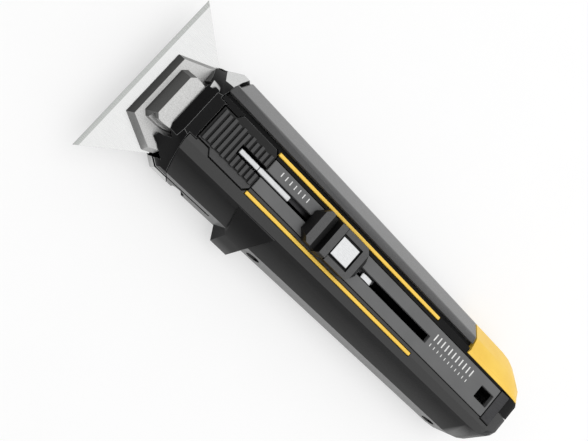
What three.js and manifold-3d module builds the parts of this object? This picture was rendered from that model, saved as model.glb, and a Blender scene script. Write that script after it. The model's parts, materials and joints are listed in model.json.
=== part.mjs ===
// Scraper utility knife: a two-shell handle with a thumb slider on a track panel,
// and a turning head that clamps a trapezoid blade crosswise.
// Millimetres. X runs from the cutting edge to the tail, Y towards the spine, Z up from the flat back.
import * as THREE from 'three';
import { mergeVertices } from 'three/addons/utils/BufferGeometryUtils.js';
import Module from 'manifold-3d';

const wasm = await Module();
wasm.setup();

// Fits
const FIT = 0.3;
const SWEEP_FIT = 0.5;

// Blade
const BLADE_LENGTH = 61;
const BLADE_BACK = 33;
const BLADE_HEIGHT = 18.7;
const BLADE_THICKNESS = 0.6;
const BLADE_PLANE_Z = 10.4;
const EDGE_GRIND = 1.5;
const EDGE_LAND = 0.05;
const NOTCH_WIDTH = 3.2;
const NOTCH_DEPTH = 3;
const NOTCH_SPACING = 9.4;

// Handle section, half widths measured from the handle's own axis
const HANDLE_AXIS_Y = 1.6;
const PANEL_Z = 27;
const RAIL_HALF = 8.9;
const RAIL_DROP = 0.4;
const SHOULDER_HALF = 12.2;
const SHOULDER_Z = 24.9;
const FLANK_HALF = 19.2;
const SPINE_SHOULDER_HALF = 14.1;
const SPINE_SHOULDER_Z = 23;
const SPINE_FLANK_HALF = 19.8;
const FLANK_Z = 14.8;
const WALL_HALF = 20.3;
const WALL_Z = 5;
const BACK_HALF = 14;

// Handle length
const COLLAR_FRONT_X = 14.8;
const COLLAR_EDGE_X = 17.8;
const COLLAR_FULL_X = 23;
const COLLAR_TOP_REAR_X = 19.4;
const COLLAR_END_X = 34;
const COLLAR_TONGUE_X = 22.4;
const COLLAR_TONGUE_HALF = 6.9;
const COLLAR_TONGUE_Z = 23;
const SHELL_RAKE = 0.5;
const SHELL_START_X = 20;
const TAIL_X = 176;
const SPINE_TAPER = 0.06;
const BELLY_TAPER = 0.13;
const TAIL_ROUND = 13;
const TAIL_PINCH = 0.42;
const TAIL_FLATTEN = 0.3;
const TAIL_STEPS = 5;
const COLLAR_FRONT_PINCH = 0.22;
const COLLAR_FRONT_FLATTEN = 0.74;
const COLLAR_EDGE_PINCH = 0.17;

// Track panel and accent strips
const PANEL_FRONT_X = 45.3;
const PANEL_TAIL = 12.2;
const PANEL_HALF = 5.75;
const PANEL_THICKNESS = 2;
const SLOT_FRONT_X = 34;
const SLOT_REAR_X = 127.5;
const SLOT_WIDTH = 2.9;
const STRIP_INNER = 7.3;
const STRIP_WIDTH = 1.15;
const STRIP_DEPTH = 1.2;
const STRIP_FRONT_X = 45;
const STRIP_REAR_X = 126;
const GROOVE_OUTER = 10.65;
const GROOVE_DEPTH = 3;
const LANYARD_TAIL = 13;
const LANYARD_LENGTH = 6.8;
const LANYARD_WIDTH = 4.9;
const LANYARD_FLOOR_Z = 16;
const END_BAR_LENGTH = 4.6;
const END_BAR_HALF = 6.2;
const END_BAR_DEPTH = 3.4;

// Spine grip and finger guard
const GRIP_THICKNESS = 2;
const GRIP_NOSE_X = 23.2;
const GRIP_NOSE_LENGTH = 4.6;
const GRIP_NOSE_WIDTH = 5.8;
const SCALLOP_COUNT = 6;
const SCALLOP_FIRST_X = 37;
const SCALLOP_PITCH = 4.6;
const SCALLOP_RADIUS = 2.6;
const SCALLOP_DEPTH = 0.5;
const GUARD_ROOT_FRONT_X = 47;
const GUARD_ROOT_REAR_X = 63.4;
const GUARD_TOP_FRONT_X = 53.4;
const GUARD_TOP_REAR_X = 60.8;
const GUARD_TOP_REACH = 20.4;
const GUARD_TOP_Z = 15;
const GUARD_LOW_FRONT_X = 53.6;
const GUARD_LOW_REAR_X = 60.9;
const GUARD_LOW_REACH = 24.2;
const GUARD_LOW_Z = 7;
const GUARD_ROOT_SINK = 2;

// Turning head
const PIVOT_X = 13;
const PLATE_FRONT_X = 4.6;
const PLATE_FRONT_HALF = 11.9;
const PLATE_WIDE_X = 16.2;
const PLATE_WIDE_HALF = 17.3;
const PLATE_REAR_MARGIN = 0.9;
const PLATE_REAR_HALF = 15.6;
const PLATE_TOP_Z = 15.4;
const PLATE_BEVEL = 1.4;
const BLOCK_FRONT_X = 7.5;
const BLOCK_CORNER_X = 9;
const BLOCK_FRONT_HALF = 8.2;
const BLOCK_RADIUS = 9.6;
const BLOCK_TOP_Z = 22.4;
const BLOCK_DRAFT = 2.2;
const BLOCK_STEPS = 6;
const LOWER_JAW_Z = 6.4;
const JAW_INSET = 1;
const PIN_RADIUS = 1.5;
const PIN_TOP_Z = 21.3;
const TONGUE_RADIUS = 3;
const TONGUE_LOW_Z = 17.6;
const TONGUE_TOP_Z = 20.4;
const STUD_RADIUS = 1.1;
const STUD_TOP_Z = 14.6;
const STUD_HEAD_RADIUS = 2;
const STUD_HEAD_HEIGHT = 1.4;
const MAGNET_X = 10.5;
const MAGNET_RADIUS = 2.5;
const MAGNET_HEIGHT = 1.5;

// Carriage
const CHANNEL_HALF = 4.2;
const CHANNEL_LOW_Z = 13.2;
const CHANNEL_REAR_X = 130;
const LINK_BOSS_FRONT_X = 26;
const LINK_BOSS_REAR_X = 33.5;
const LINK_BOSS_TOP_Z = 22.2;
const ROD_RADIUS = 1.1;
const ROD_Z = 19.8;
const SLED_FRONT_X = 58;
const SLED_REAR_X = 100;
const SLED_TOP_Z = 23.7;
const ROD_SEAT = 6;
const SLIDER_FRONT_X = 66;
const SLIDER_REAR_X = 90.5;
const SLIDER_HALF = 6.4;
const SLIDER_FRONT_CORNER = 2.8;
const SLIDER_REAR_CORNER = 3.6;
const SLIDER_TOE = 1.5;
const SLIDER_HEEL = 2;
const DECK_HEIGHT = 3.7;
const FRONT_RIDGE_HEIGHT = 4.2;
const FRONT_RIDGE_X = 67.4;
const VALLEY_FRONT_X = 70.6;
const VALLEY_REAR_X = 73.4;
const VALLEY_HEIGHT = 1.5;
const VALLEY_SLOPE = 0.5;
const RIDGE_REAR_X = 76.6;
const RIDGE_HEIGHT = 5.2;
const RIDGE_HALF = 6.9;
const RIDGE_DRAFT = 0.9;
const STEM_FRONT_X = 73;
const STEM_REAR_X = 86;
const STEM_WIDTH = 2.1;
const STEM_LOW_Z = 19;
const BUTTON_FRONT_X = 77.4;
const BUTTON_REAR_X = 85.2;
const BUTTON_HALF = 3.6;
const BUTTON_PROUD = 0.4;
const BUTTON_HEIGHT = 1.5;
const BUTTON_TRAVEL = 1.2;
const MOAT_WIDTH = 0.8;
const MOAT_DEPTH = 0.8;
const STOP_BAR_FRONT_X = 34.6;
const STOP_BAR_REAR_X = 57.6;
const STOP_BAR_WIDTH = 2.3;
const STOP_BAR_DEPTH = 2.2;
const STOP_BAR_DROP = 0.3;
const DETENT_FRONT_X = 94;
const DETENT_REAR_X = 99;
const DETENT_HEIGHT = 1.2;
const DETENT_WIDTH = 2;

// Release pad
const PAD_FRONT_X = 22.3;
const PAD_WIDE_X = 28.8;
const PAD_REAR_X = 44.8;
const PAD_FRONT_HALF = 6.1;
const PAD_WIDE_HALF = 8.1;
const PAD_CORNER = 1.6;
const PAD_THICKNESS = 1.9;
const PAD_GAP = 0.5;
const PAD_TRAVEL = 1;
const PAD_SLOT_WIDTH = 3.6;
const RIB_COUNT = 11;
const RIB_LENGTH = 1.2;
const RIB_HEIGHT = 0.7;
const RIB_MARGIN = 0.7;
const RIB_HALF = 6.1;
const RIB_STEP = 0.4;

// Springs
const WIRE_RADIUS = 0.2;
const WIRE_SIDES = 5;
const CURL_STEPS = 8;
const LEAF_SPAN = 5.6;
const LEAF_WIDTH = 4;
const BUTTON_LEAF_THICKNESS = 0.25;
const PAD_SPRING_RADIUS = 1;
const PAD_SPRING_CURLS = 4;
const PAD_SPRING_X = 40;
const PAD_SPRING_OFFSET = 6.2;
const PAD_SPRING_LENGTH = 4;

// Storage door and spare blades
const DOOR_OUTER_LENGTH = 28.7;
const DOOR_INNER_LENGTH = 32.8;
const DOOR_GAP = 0.7;
const DOOR_SKIN = 1.6;
const DOOR_INNER = 6.9;
const DOOR_AXIS_Y = 16.4;
const DOOR_AXIS_Z = 3.8;
const DOOR_ROOM_RADIUS = 2.6;
const DOOR_KNUCKLE_RADIUS = 1.6;
const DOOR_KNUCKLE_TAIL = 16.5;
const DOOR_KNUCKLE_LENGTH = 9;
const DOOR_EAR_LENGTH = 3;
const DOOR_PIN_RADIUS = 0.8;
const DOOR_LIP_DEPTH = 1.2;
const SPARE_COUNT = 3;
const SPARE_LOW_Z = 4;
const SPARE_TAIL = 10.5;
const STORE_INNER = 6.3;
const LEAF_THICKNESS = 0.4;

// Body screws, driven from the belly into the spine shell
const SCREW_FRONT_X = 34.6;
const SCREW_FRONT_Z = 6.3;
const SCREW_MIDDLE_X = 67.6;
const SCREW_REAR_TAIL = 16;
const SCREW_Z = 9.6;
const SCREW_HEAD_RADIUS = 2.3;
const SCREW_HEAD_HEIGHT = 1.6;
const SCREW_SHANK_RADIUS = 1.2;
const SCREW_SINK = 1.6;
const SCREW_REACH = 5;
const CROSS_WIDTH = 0.7;
const CROSS_REACH = 1.6;
const CROSS_DEPTH = 0.8;
const ROUND_SIDES = 24;

// Sizes worked out from the values above
const SHELL_TOP_X = COLLAR_TOP_REAR_X + FIT;
const BLADE_TOP_Z = BLADE_PLANE_Z + BLADE_THICKNESS / 2;
const BLADE_LOW_Z = BLADE_PLANE_Z - BLADE_THICKNESS / 2;
const PANEL_LOW_Z = PANEL_Z - PANEL_THICKNESS;
const SLIDER_LOW_Z = PANEL_Z + FIT;
const DECK_Z = SLIDER_LOW_Z + DECK_HEIGHT;
const BUTTON_TOP_Z = DECK_Z + BUTTON_PROUD;
const BUTTON_Y = HANDLE_AXIS_Y;
const SPARE_TOP_Z = SPARE_LOW_Z + BLADE_HEIGHT;
const SPARE_REAR_X = TAIL_X - SPARE_TAIL;
const SPARE_FRONT_X = SPARE_REAR_X - BLADE_LENGTH;
const PANEL_REAR_X = TAIL_X - PANEL_TAIL;
const LANYARD_REAR_X = TAIL_X - LANYARD_TAIL;
const LANYARD_FRONT_X = LANYARD_REAR_X - LANYARD_LENGTH;
const DOOR_FRONT_OUTER_X = TAIL_X - DOOR_OUTER_LENGTH;
const DOOR_FRONT_INNER_X = TAIL_X - DOOR_INNER_LENGTH;
const DOOR_ROOM_X = (DOOR_FRONT_OUTER_X + DOOR_FRONT_INNER_X) / 2 - FIT;
const DOOR_KNUCKLE_REAR_X = TAIL_X - DOOR_KNUCKLE_TAIL;
const DOOR_KNUCKLE_FRONT_X = DOOR_KNUCKLE_REAR_X - DOOR_KNUCKLE_LENGTH;
const SCREW_REAR_X = TAIL_X - SCREW_REAR_TAIL;
const STUD_X = BLADE_HEIGHT - NOTCH_DEPTH / 2;
const PLATE_REAR_X = BLADE_HEIGHT + PLATE_REAR_MARGIN;
const STORE_DEPTH = SPARE_COUNT * (BLADE_THICKNESS + FIT) + LEAF_THICKNESS + 2 * FIT;
const BLADE_SWEEP = Math.hypot(BLADE_LENGTH / 2, PIVOT_X);
const PLATE_SWEEP = Math.hypot(PLATE_WIDE_HALF, PLATE_WIDE_X - PIVOT_X);
const BLOCK_SWEEP = Math.hypot(BLOCK_RADIUS, PIVOT_X - BLOCK_CORNER_X);
const FAR = 400;

// Solids: closed three.js geometry joined and cut
function solid(geometry) {
  const bare = geometry.clone();
  bare.deleteAttribute('normal');
  bare.deleteAttribute('uv');
  const merged = mergeVertices(bare, 1e-4);
  return new wasm.Manifold(new wasm.Mesh({
    numProp: 3,
    vertProperties: Float32Array.from(merged.attributes.position.array),
    triVerts: Uint32Array.from(merged.index.array),
  }));
}

function geometryOf(body) {
  const mesh = body.getMesh();
  const geometry = new THREE.BufferGeometry();
  geometry.setAttribute('position', new THREE.BufferAttribute(Float32Array.from(mesh.vertProperties), 3));
  geometry.setIndex(Array.from(mesh.triVerts));
  const faceted = geometry.toNonIndexed();
  faceted.computeVertexNormals();
  return faceted;
}

function join(...bodies) {
  return bodies.reduce((whole, body) => whole.add(body));
}

function cut(body, ...tools) {
  return tools.reduce((rest, tool) => rest.subtract(tool), body);
}

function box(x0, x1, y0, y1, z0, z1) {
  const geometry = new THREE.BoxGeometry(x1 - x0, y1 - y0, z1 - z0);
  geometry.translate((x0 + x1) / 2, (y0 + y1) / 2, (z0 + z1) / 2);
  return solid(geometry);
}

function outline(points) {
  return new THREE.Shape(points.map(([a, b]) => new THREE.Vector2(a, b)));
}

// A plan outline (X, Y) raised from z0 to z1
function raised(points, z0, z1) {
  const geometry = new THREE.ExtrudeGeometry(outline(points), { depth: z1 - z0, bevelEnabled: false });
  geometry.translate(0, 0, z0);
  return solid(geometry);
}

// A side outline (X, Z) run crosswise from y0 to y1
function crosswise(points, y0, y1) {
  const geometry = new THREE.ExtrudeGeometry(outline(points), { depth: y1 - y0, bevelEnabled: false });
  geometry.rotateX(Math.PI / 2);
  geometry.translate(0, y1, 0);
  return solid(geometry);
}

function upright(radius, x, y, z0, z1) {
  const geometry = new THREE.CylinderGeometry(radius, radius, z1 - z0, ROUND_SIDES);
  geometry.rotateX(Math.PI / 2);
  geometry.translate(x, y, (z0 + z1) / 2);
  return solid(geometry);
}

function lengthwise(radius, x0, x1, y, z) {
  const geometry = new THREE.CylinderGeometry(radius, radius, x1 - x0, ROUND_SIDES);
  geometry.rotateZ(Math.PI / 2);
  geometry.translate((x0 + x1) / 2, y, z);
  return solid(geometry);
}

function acrossBody(radius, x, z, y0, y1) {
  const geometry = new THREE.CylinderGeometry(radius, radius, y1 - y0, ROUND_SIDES);
  geometry.translate(x, (y0 + y1) / 2, z);
  return solid(geometry);
}

// A skin over rings of equal point count, closed with a fan at each end
function loft(rings) {
  const count = rings[0].length;
  const positions = rings.flat(2);
  const faces = [];
  for (let ring = 0; ring + 1 < rings.length; ring += 1) {
    for (let i = 0; i < count; i += 1) {
      const a = ring * count + i;
      const b = ring * count + (i + 1) % count;
      faces.push(a, b, b + count, a, b + count, a + count);
    }
  }
  const last = (rings.length - 1) * count;
  for (let i = 1; i + 1 < count; i += 1) {
    faces.push(0, i + 1, i, last, last + i, last + i + 1);
  }
  const geometry = new THREE.BufferGeometry();
  geometry.setAttribute('position', new THREE.Float32BufferAttribute(positions, 3));
  geometry.setIndex(faces);
  return solid(geometry);
}

// Handle body: one ten-sided section, tapered to the tail and rounded at its end
function sectionRing(x, spine, belly, flatten, inset) {
  const corners = (shoulderHalf, shoulderZ, flankHalf) => [
    [RAIL_HALF, PANEL_Z - RAIL_DROP],
    [shoulderHalf, shoulderZ],
    [flankHalf, FLANK_Z],
    [WALL_HALF, WALL_Z],
    [BACK_HALF, 0],
  ];
  const middle = PANEL_Z / 2;
  const level = (z) => middle + (z - middle) * flatten * (1 - inset / middle);
  const bellySide = corners(SHOULDER_HALF, SHOULDER_Z, FLANK_HALF)
    .map(([half, z]) => [x, HANDLE_AXIS_Y - (half - inset) * belly, level(z)]);
  const spineSide = corners(SPINE_SHOULDER_HALF, SPINE_SHOULDER_Z, SPINE_FLANK_HALF)
    .map(([half, z]) => [x, HANDLE_AXIS_Y + (half - inset) * spine, level(z)]);
  return [...bellySide, ...spineSide.reverse()];
}

function tailRing(x, inset) {
  const along = (x - SHELL_START_X) / (TAIL_X - SHELL_START_X);
  const round = Math.min(1, Math.max(0, (x - TAIL_X + TAIL_ROUND) / TAIL_ROUND));
  const bend = 1 - Math.sqrt(1 - round * round);
  const spine = (1 - SPINE_TAPER * along) * (1 - TAIL_PINCH * bend);
  const belly = (1 - BELLY_TAPER * along) * (1 - TAIL_PINCH * bend);
  return sectionRing(x, spine, belly, 1 - TAIL_FLATTEN * bend, inset);
}

function handleBody(inset) {
  const rings = [tailRing(SHELL_START_X, inset), tailRing(TAIL_X - TAIL_ROUND, inset)];
  for (let step = 1; step <= TAIL_STEPS; step += 1) {
    const round = Math.sin((step / TAIL_STEPS) * Math.PI / 2);
    rings.push(tailRing(TAIL_X - TAIL_ROUND + TAIL_ROUND * round, inset));
  }
  return cut(loft(rings), aheadOfRake(SHELL_TOP_X), collarTongue(FIT));
}

// Everything in front of the raked joint line between collar and shells
function aheadOfRake(topX) {
  const onLine = (z) => [topX + SHELL_RAKE * (PANEL_Z - z), z];
  return crosswise([[-FAR, -FAR], onLine(-FAR), onLine(FAR), [-FAR, FAR]], -FAR, FAR);
}

// Middle of the collar's top, which reaches back to the release pad
function collarTongue(margin) {
  const half = COLLAR_TONGUE_HALF + margin;
  return box(
    0, COLLAR_TONGUE_X + margin, HANDLE_AXIS_Y - half, HANDLE_AXIS_Y + half, COLLAR_TONGUE_Z - margin, FAR);
}

// Room that the head, the blade and the carriage need inside the nose
function headRoom() {
  const slitHalf = BLADE_THICKNESS / 2 + SWEEP_FIT;
  const blockRoom = upright(BLOCK_SWEEP + SWEEP_FIT, PIVOT_X, 0, PLATE_TOP_Z, BLOCK_TOP_Z + FIT);
  const plateRoom = upright(
    PLATE_SWEEP + SWEEP_FIT, PIVOT_X, 0, LOWER_JAW_Z - SWEEP_FIT, PLATE_TOP_Z + SWEEP_FIT);
  const bladeSlit = box(
    0, PIVOT_X + BLADE_SWEEP + SWEEP_FIT, -FAR, PIVOT_X / 2,
    BLADE_PLANE_Z - slitHalf, BLADE_PLANE_Z + slitHalf);
  const spineSlit = box(
    0, BLADE_HEIGHT + SWEEP_FIT, 0, FAR, BLADE_PLANE_Z - slitHalf, BLADE_PLANE_Z + slitHalf);
  return join(blockRoom, plateRoom, bladeSlit, spineSlit);
}

function channel(x0, x1, topZ) {
  return box(x0, x1, HANDLE_AXIS_Y - CHANNEL_HALF, HANDLE_AXIS_Y + CHANNEL_HALF, CHANNEL_LOW_Z, topZ);
}

// Release pad outline, widened by a margin for the opening round it
function padOutline(margin) {
  const near = PAD_FRONT_HALF + margin;
  const wide = PAD_WIDE_HALF + margin;
  const front = PAD_FRONT_X - margin;
  const rear = PAD_REAR_X + margin;
  const half = [
    [front, near],
    [PAD_WIDE_X - PAD_CORNER, near],
    [PAD_WIDE_X, wide],
    [rear - PAD_CORNER, wide],
    [rear, wide - PAD_CORNER],
  ];
  const belly = half.map(([x, y]) => [x, HANDLE_AXIS_Y - y]);
  const spine = half.map(([x, y]) => [x, HANDLE_AXIS_Y + y]).reverse();
  return [...belly, ...spine];
}

function padOpening() {
  return raised(padOutline(PAD_GAP), PANEL_LOW_Z - PAD_TRAVEL - FIT, FAR);
}

function releasePad() {
  const lowZ = PANEL_Z - PAD_THICKNESS;
  const base = raised(padOutline(0), lowZ, PANEL_Z);
  const pitch = (PAD_REAR_X - PAD_FRONT_X - 2 * RIB_MARGIN - RIB_LENGTH) / (RIB_COUNT - 1);
  let pad = base;
  for (let rib = 0; rib < RIB_COUNT; rib += 1) {
    const x = PAD_FRONT_X + RIB_MARGIN + rib * pitch;
    const half = RIB_HALF - (1 + rib % 2) * RIB_STEP;
    pad = pad.add(box(
      x, x + RIB_LENGTH, HANDLE_AXIS_Y - half, HANDLE_AXIS_Y + half, lowZ, PANEL_Z + RIB_HEIGHT));
  }
  const slot = box(
    SLOT_FRONT_X, FAR, HANDLE_AXIS_Y - PAD_SLOT_WIDTH / 2, HANDLE_AXIS_Y + PAD_SLOT_WIDTH / 2, 0, FAR);
  const seats = padSpringPlaces().map(([x, y]) =>
    upright(PAD_SPRING_RADIUS + WIRE_RADIUS + FIT, x, y, 0, lowZ + FIT));
  return cut(pad, slot, ...seats);
}

function padSpringPlaces() {
  return [-1, 1].map((side) => [PAD_SPRING_X, HANDLE_AXIS_Y + side * PAD_SPRING_OFFSET]);
}

function padSpringSeats() {
  const topZ = PANEL_Z - PAD_THICKNESS;
  return join(...padSpringPlaces().map(([x, y]) =>
    upright(PAD_SPRING_RADIUS + WIRE_RADIUS + FIT, x, y, topZ - PAD_SPRING_LENGTH - FIT, topZ)));
}

// Openings shared by both shells
function trackOpenings() {
  const axis = HANDLE_AXIS_Y;
  const half = PANEL_HALF + FIT;
  const panelBed = box(
    PANEL_FRONT_X - FIT, PANEL_REAR_X + FIT, axis - half, axis + half, PANEL_LOW_Z - FIT, FAR);
  const beds = [-1, 1].map((side) => stripSolid(side, FIT));
  const endBarBed = endBarSolid(FIT);
  return join(panelBed, ...beds, lanyardHole(), endBarBed);
}

function stripSolid(side, margin) {
  const topZ = PANEL_Z - RAIL_DROP;
  const inner = HANDLE_AXIS_Y + side * (STRIP_INNER - margin);
  const outer = HANDLE_AXIS_Y + side * (STRIP_INNER + STRIP_WIDTH + margin);
  return box(
    STRIP_FRONT_X - margin, STRIP_REAR_X + margin, Math.min(inner, outer), Math.max(inner, outer),
    topZ - STRIP_DEPTH - margin, margin > 0 ? FAR : topZ + FIT);
}

// Way for a cord: down through the panel and out at the tail, under the end bar
function lanyardHole() {
  const y0 = HANDLE_AXIS_Y - LANYARD_WIDTH / 2;
  const y1 = HANDLE_AXIS_Y + LANYARD_WIDTH / 2;
  return join(
    box(LANYARD_FRONT_X, LANYARD_REAR_X, y0, y1, LANYARD_FLOOR_Z, FAR),
    box(LANYARD_FRONT_X, FAR, y0, y1, LANYARD_FLOOR_Z, PANEL_Z - END_BAR_DEPTH));
}

function endBarSolid(margin) {
  const front = PANEL_REAR_X + FIT + FIT - margin;
  const half = END_BAR_HALF + margin;
  return box(
    front, front + END_BAR_LENGTH + 2 * margin, HANDLE_AXIS_Y - half, HANDLE_AXIS_Y + half,
    PANEL_Z - END_BAR_DEPTH - margin, margin > 0 ? FAR : PANEL_Z - FIT);
}

function screwPlaces() {
  return [
    ['front', SCREW_FRONT_X, SCREW_FRONT_Z],
    ['middle', SCREW_MIDDLE_X, SCREW_Z],
    ['rear', SCREW_REAR_X, SCREW_Z],
  ];
}

// Outer face of the belly wall at a place on the side
function bellyFaceY(x, z) {
  const along = (x - SHELL_START_X) / (TAIL_X - SHELL_START_X);
  const share = Math.min(1, Math.max(0, (FLANK_Z - z) / (FLANK_Z - WALL_Z)));
  const half = FLANK_HALF + (WALL_HALF - FLANK_HALF) * share;
  return HANDLE_AXIS_Y - half * (1 - BELLY_TAPER * along);
}

function screwHole([, x, z]) {
  const headY = bellyFaceY(x, z) + SCREW_SINK;
  const recess = acrossBody(SCREW_HEAD_RADIUS + FIT, x, z, -FAR, headY + SCREW_HEAD_HEIGHT + FIT);
  const bore = acrossBody(SCREW_SHANK_RADIUS + FIT, x, z, headY, HANDLE_AXIS_Y + SCREW_REACH + FIT);
  return join(recess, bore);
}

function bodyScrew([, x, z]) {
  const headY = bellyFaceY(x, z) + SCREW_SINK;
  const length = HANDLE_AXIS_Y + SCREW_REACH - headY;
  const profile = [
    [0, 0],
    [SCREW_HEAD_RADIUS, 0],
    [SCREW_HEAD_RADIUS, SCREW_HEAD_HEIGHT],
    [SCREW_SHANK_RADIUS, SCREW_HEAD_HEIGHT],
    [SCREW_SHANK_RADIUS, length],
    [0, length],
  ].map(([r, y]) => new THREE.Vector2(r, y));
  const geometry = new THREE.LatheGeometry(profile, ROUND_SIDES);
  geometry.translate(x, headY, z);
  const reach = CROSS_REACH;
  const half = CROSS_WIDTH / 2;
  const crossEnd = headY + CROSS_DEPTH;
  return cut(
    solid(geometry),
    box(x - reach, x + reach, -FAR, crossEnd, z - half, z + half),
    box(x - half, x + half, -FAR, crossEnd, z - reach, z + reach));
}

// Finger guard: a wedge that grows out of the belly shoulder
function guardRing(low, top) {
  const corners = ({ reach, front, rear, z }) =>
    [[front, HANDLE_AXIS_Y - reach, z], [rear, HANDLE_AXIS_Y - reach, z]];
  return [...corners(low), ...corners(top).reverse()];
}

function fingerGuard() {
  const front = GUARD_ROOT_FRONT_X;
  const rear = GUARD_ROOT_REAR_X;
  const root = (reach) => guardRing(
    { reach, front, rear, z: WALL_Z }, { reach, front, rear, z: SHOULDER_Z - FIT });
  const tip = guardRing(
    { reach: GUARD_LOW_REACH, front: GUARD_LOW_FRONT_X, rear: GUARD_LOW_REAR_X, z: GUARD_LOW_Z },
    { reach: GUARD_TOP_REACH, front: GUARD_TOP_FRONT_X, rear: GUARD_TOP_REAR_X, z: GUARD_TOP_Z });
  return loft([tip, root(SHOULDER_HALF), root(SHOULDER_HALF - GUARD_ROOT_SINK)]);
}

function bellyShell() {
  const half = box(0, FAR, -FAR, HANDLE_AXIS_Y - FIT / 2, -FAR, FAR);
  const body = handleBody(0).intersect(half).add(fingerGuard());
  return cut(
    body, headRoom(), channel(0, CHANNEL_REAR_X, PANEL_LOW_Z - FIT), padOpening(), padSpringSeats(),
    trackOpenings(), ...screwPlaces().map(screwHole));
}

// Grip zone: outside the groove on the spine side, as deep as the grip is thick
function gripZone(margin) {
  const inner = HANDLE_AXIS_Y + GROOVE_OUTER - margin;
  const doorGap = margin > 0 ? 0 : DOOR_GAP;
  const outside = box(0, FAR, inner, FAR, -FAR, FAR);
  return cut(outside, handleBody(GRIP_THICKNESS + margin), behindDoorLine(doorGap));
}

// Groove between rail and grip, widened in front of the door so that its edge can swing out
function spineGroove() {
  const outer = HANDLE_AXIS_Y + GROOVE_OUTER;
  const lowZ = PANEL_Z - RAIL_DROP - GROOVE_DEPTH;
  const doorX = DOOR_FRONT_INNER_X - FIT;
  return join(
    box(0, DOOR_FRONT_OUTER_X, HANDLE_AXIS_Y + RAIL_HALF - FIT, outer, lowZ, FAR),
    box(doorX, DOOR_FRONT_OUTER_X, HANDLE_AXIS_Y + DOOR_INNER - FIT, outer, lowZ, FAR));
}

function spineGrip() {
  const outer = HANDLE_AXIS_Y + WALL_HALF;
  const nose = raised([
    [0, outer - GRIP_NOSE_WIDTH],
    [GRIP_NOSE_X, outer - GRIP_NOSE_WIDTH],
    [GRIP_NOSE_X + GRIP_NOSE_LENGTH, outer + FIT],
    [0, outer + FIT],
  ], -FAR, FAR);
  const scallops = [];
  for (let i = 0; i < SCALLOP_COUNT; i += 1) {
    const y = HANDLE_AXIS_Y + WALL_HALF + SCALLOP_RADIUS - SCALLOP_DEPTH;
    scallops.push(upright(SCALLOP_RADIUS, SCALLOP_FIRST_X + i * SCALLOP_PITCH, y, -1, PANEL_Z));
  }
  const shell = handleBody(0).intersect(gripZone(0));
  const aboveBack = box(0, FAR, -FAR, FAR, WALL_Z / 2, FAR);
  return cut(shell.intersect(aboveBack), nose, ...scallops);
}

function spineShell() {
  const half = box(0, FAR, HANDLE_AXIS_Y + FIT / 2, FAR, -FAR, FAR);
  const keepBack = box(0, FAR, -FAR, FAR, -FAR, WALL_Z / 2 - FIT);
  const body = handleBody(0).intersect(half);
  const opened = cut(
    body, gripZone(FIT).subtract(keepBack), spineGroove(), headRoom(),
    channel(0, CHANNEL_REAR_X, PANEL_LOW_Z - FIT), padOpening(), padSpringSeats(), trackOpenings(),
    storeRoom(), doorZone(FIT), doorRoom(), ...screwPlaces().map(screwHole));
  return cut(join(opened, doorEars()), doorPinHole());
}

function noseCollar() {
  const ring = (x, pinch, flatten) => sectionRing(x, 1 - pinch, 1 - pinch, flatten, 0);
  const body = loft([
    ring(COLLAR_FRONT_X, COLLAR_FRONT_PINCH, COLLAR_FRONT_FLATTEN),
    ring(COLLAR_EDGE_X, COLLAR_EDGE_PINCH, 1),
    ring(COLLAR_FULL_X, 0, 1),
    ring(COLLAR_END_X, 0, 1),
  ]).intersect(join(aheadOfRake(COLLAR_TOP_REAR_X), collarTongue(0)));
  return cut(
    body, headRoom(), channel(0, FAR, LINK_BOSS_TOP_Z + SWEEP_FIT), padOpening());
}

function trackPanel() {
  const axis = HANDLE_AXIS_Y;
  const plate = box(
    PANEL_FRONT_X, PANEL_REAR_X, axis - PANEL_HALF, axis + PANEL_HALF, PANEL_LOW_Z, PANEL_Z);
  const slot = box(0, SLOT_REAR_X, axis - SLOT_WIDTH / 2, axis + SLOT_WIDTH / 2, 0, FAR);
  return cut(plate, slot, lanyardHole());
}

// Bright bar along one side of the slot that stops the slider's stem
function stopBar() {
  const y = HANDLE_AXIS_Y - SLOT_WIDTH / 2 + FIT;
  const topZ = PANEL_Z - STOP_BAR_DROP;
  return box(STOP_BAR_FRONT_X, STOP_BAR_REAR_X, y, y + STOP_BAR_WIDTH, topZ - STOP_BAR_DEPTH, topZ);
}

// Storage: spare blades on edge beside the channel, under the door at the tail
function storeRoom() {
  const inner = HANDLE_AXIS_Y + STORE_INNER;
  return box(
    SPARE_FRONT_X - FIT, SPARE_REAR_X + FIT, inner, inner + STORE_DEPTH,
    SPARE_LOW_Z - FIT, SPARE_TOP_Z + FIT);
}

// The door's front face slants forward from the outside to the panel
function behindDoorLine(margin) {
  const outer = HANDLE_AXIS_Y + WALL_HALF + FIT;
  const inner = HANDLE_AXIS_Y + DOOR_INNER - FIT;
  return raised([
    [DOOR_FRONT_INNER_X - margin, inner],
    [FAR, inner],
    [FAR, outer],
    [DOOR_FRONT_OUTER_X - margin, outer],
  ], -FAR, FAR);
}

function doorZone(margin) {
  const storeOuter = HANDLE_AXIS_Y + STORE_INNER + STORE_DEPTH;
  const inner = HANDLE_AXIS_Y + DOOR_INNER - margin;
  const lowZ = DOOR_AXIS_Z + FIT / 2 - margin;
  const side = box(0, FAR, storeOuter - margin, FAR, lowZ, FAR);
  const roof = box(0, FAR, inner, FAR, SPARE_TOP_Z + FIT + FIT - margin, FAR);
  const end = box(SPARE_REAR_X + FIT + FIT - margin, FAR, inner, FAR, lowZ, FAR);
  return join(side, roof, end).intersect(behindDoorLine(margin));
}

// The door turns on a lengthwise pin at its low edge, between two ears of the spine shell
function alongDoorAxis(radius, x0, x1) {
  return lengthwise(radius, x0, x1, DOOR_AXIS_Y, DOOR_AXIS_Z);
}

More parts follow.
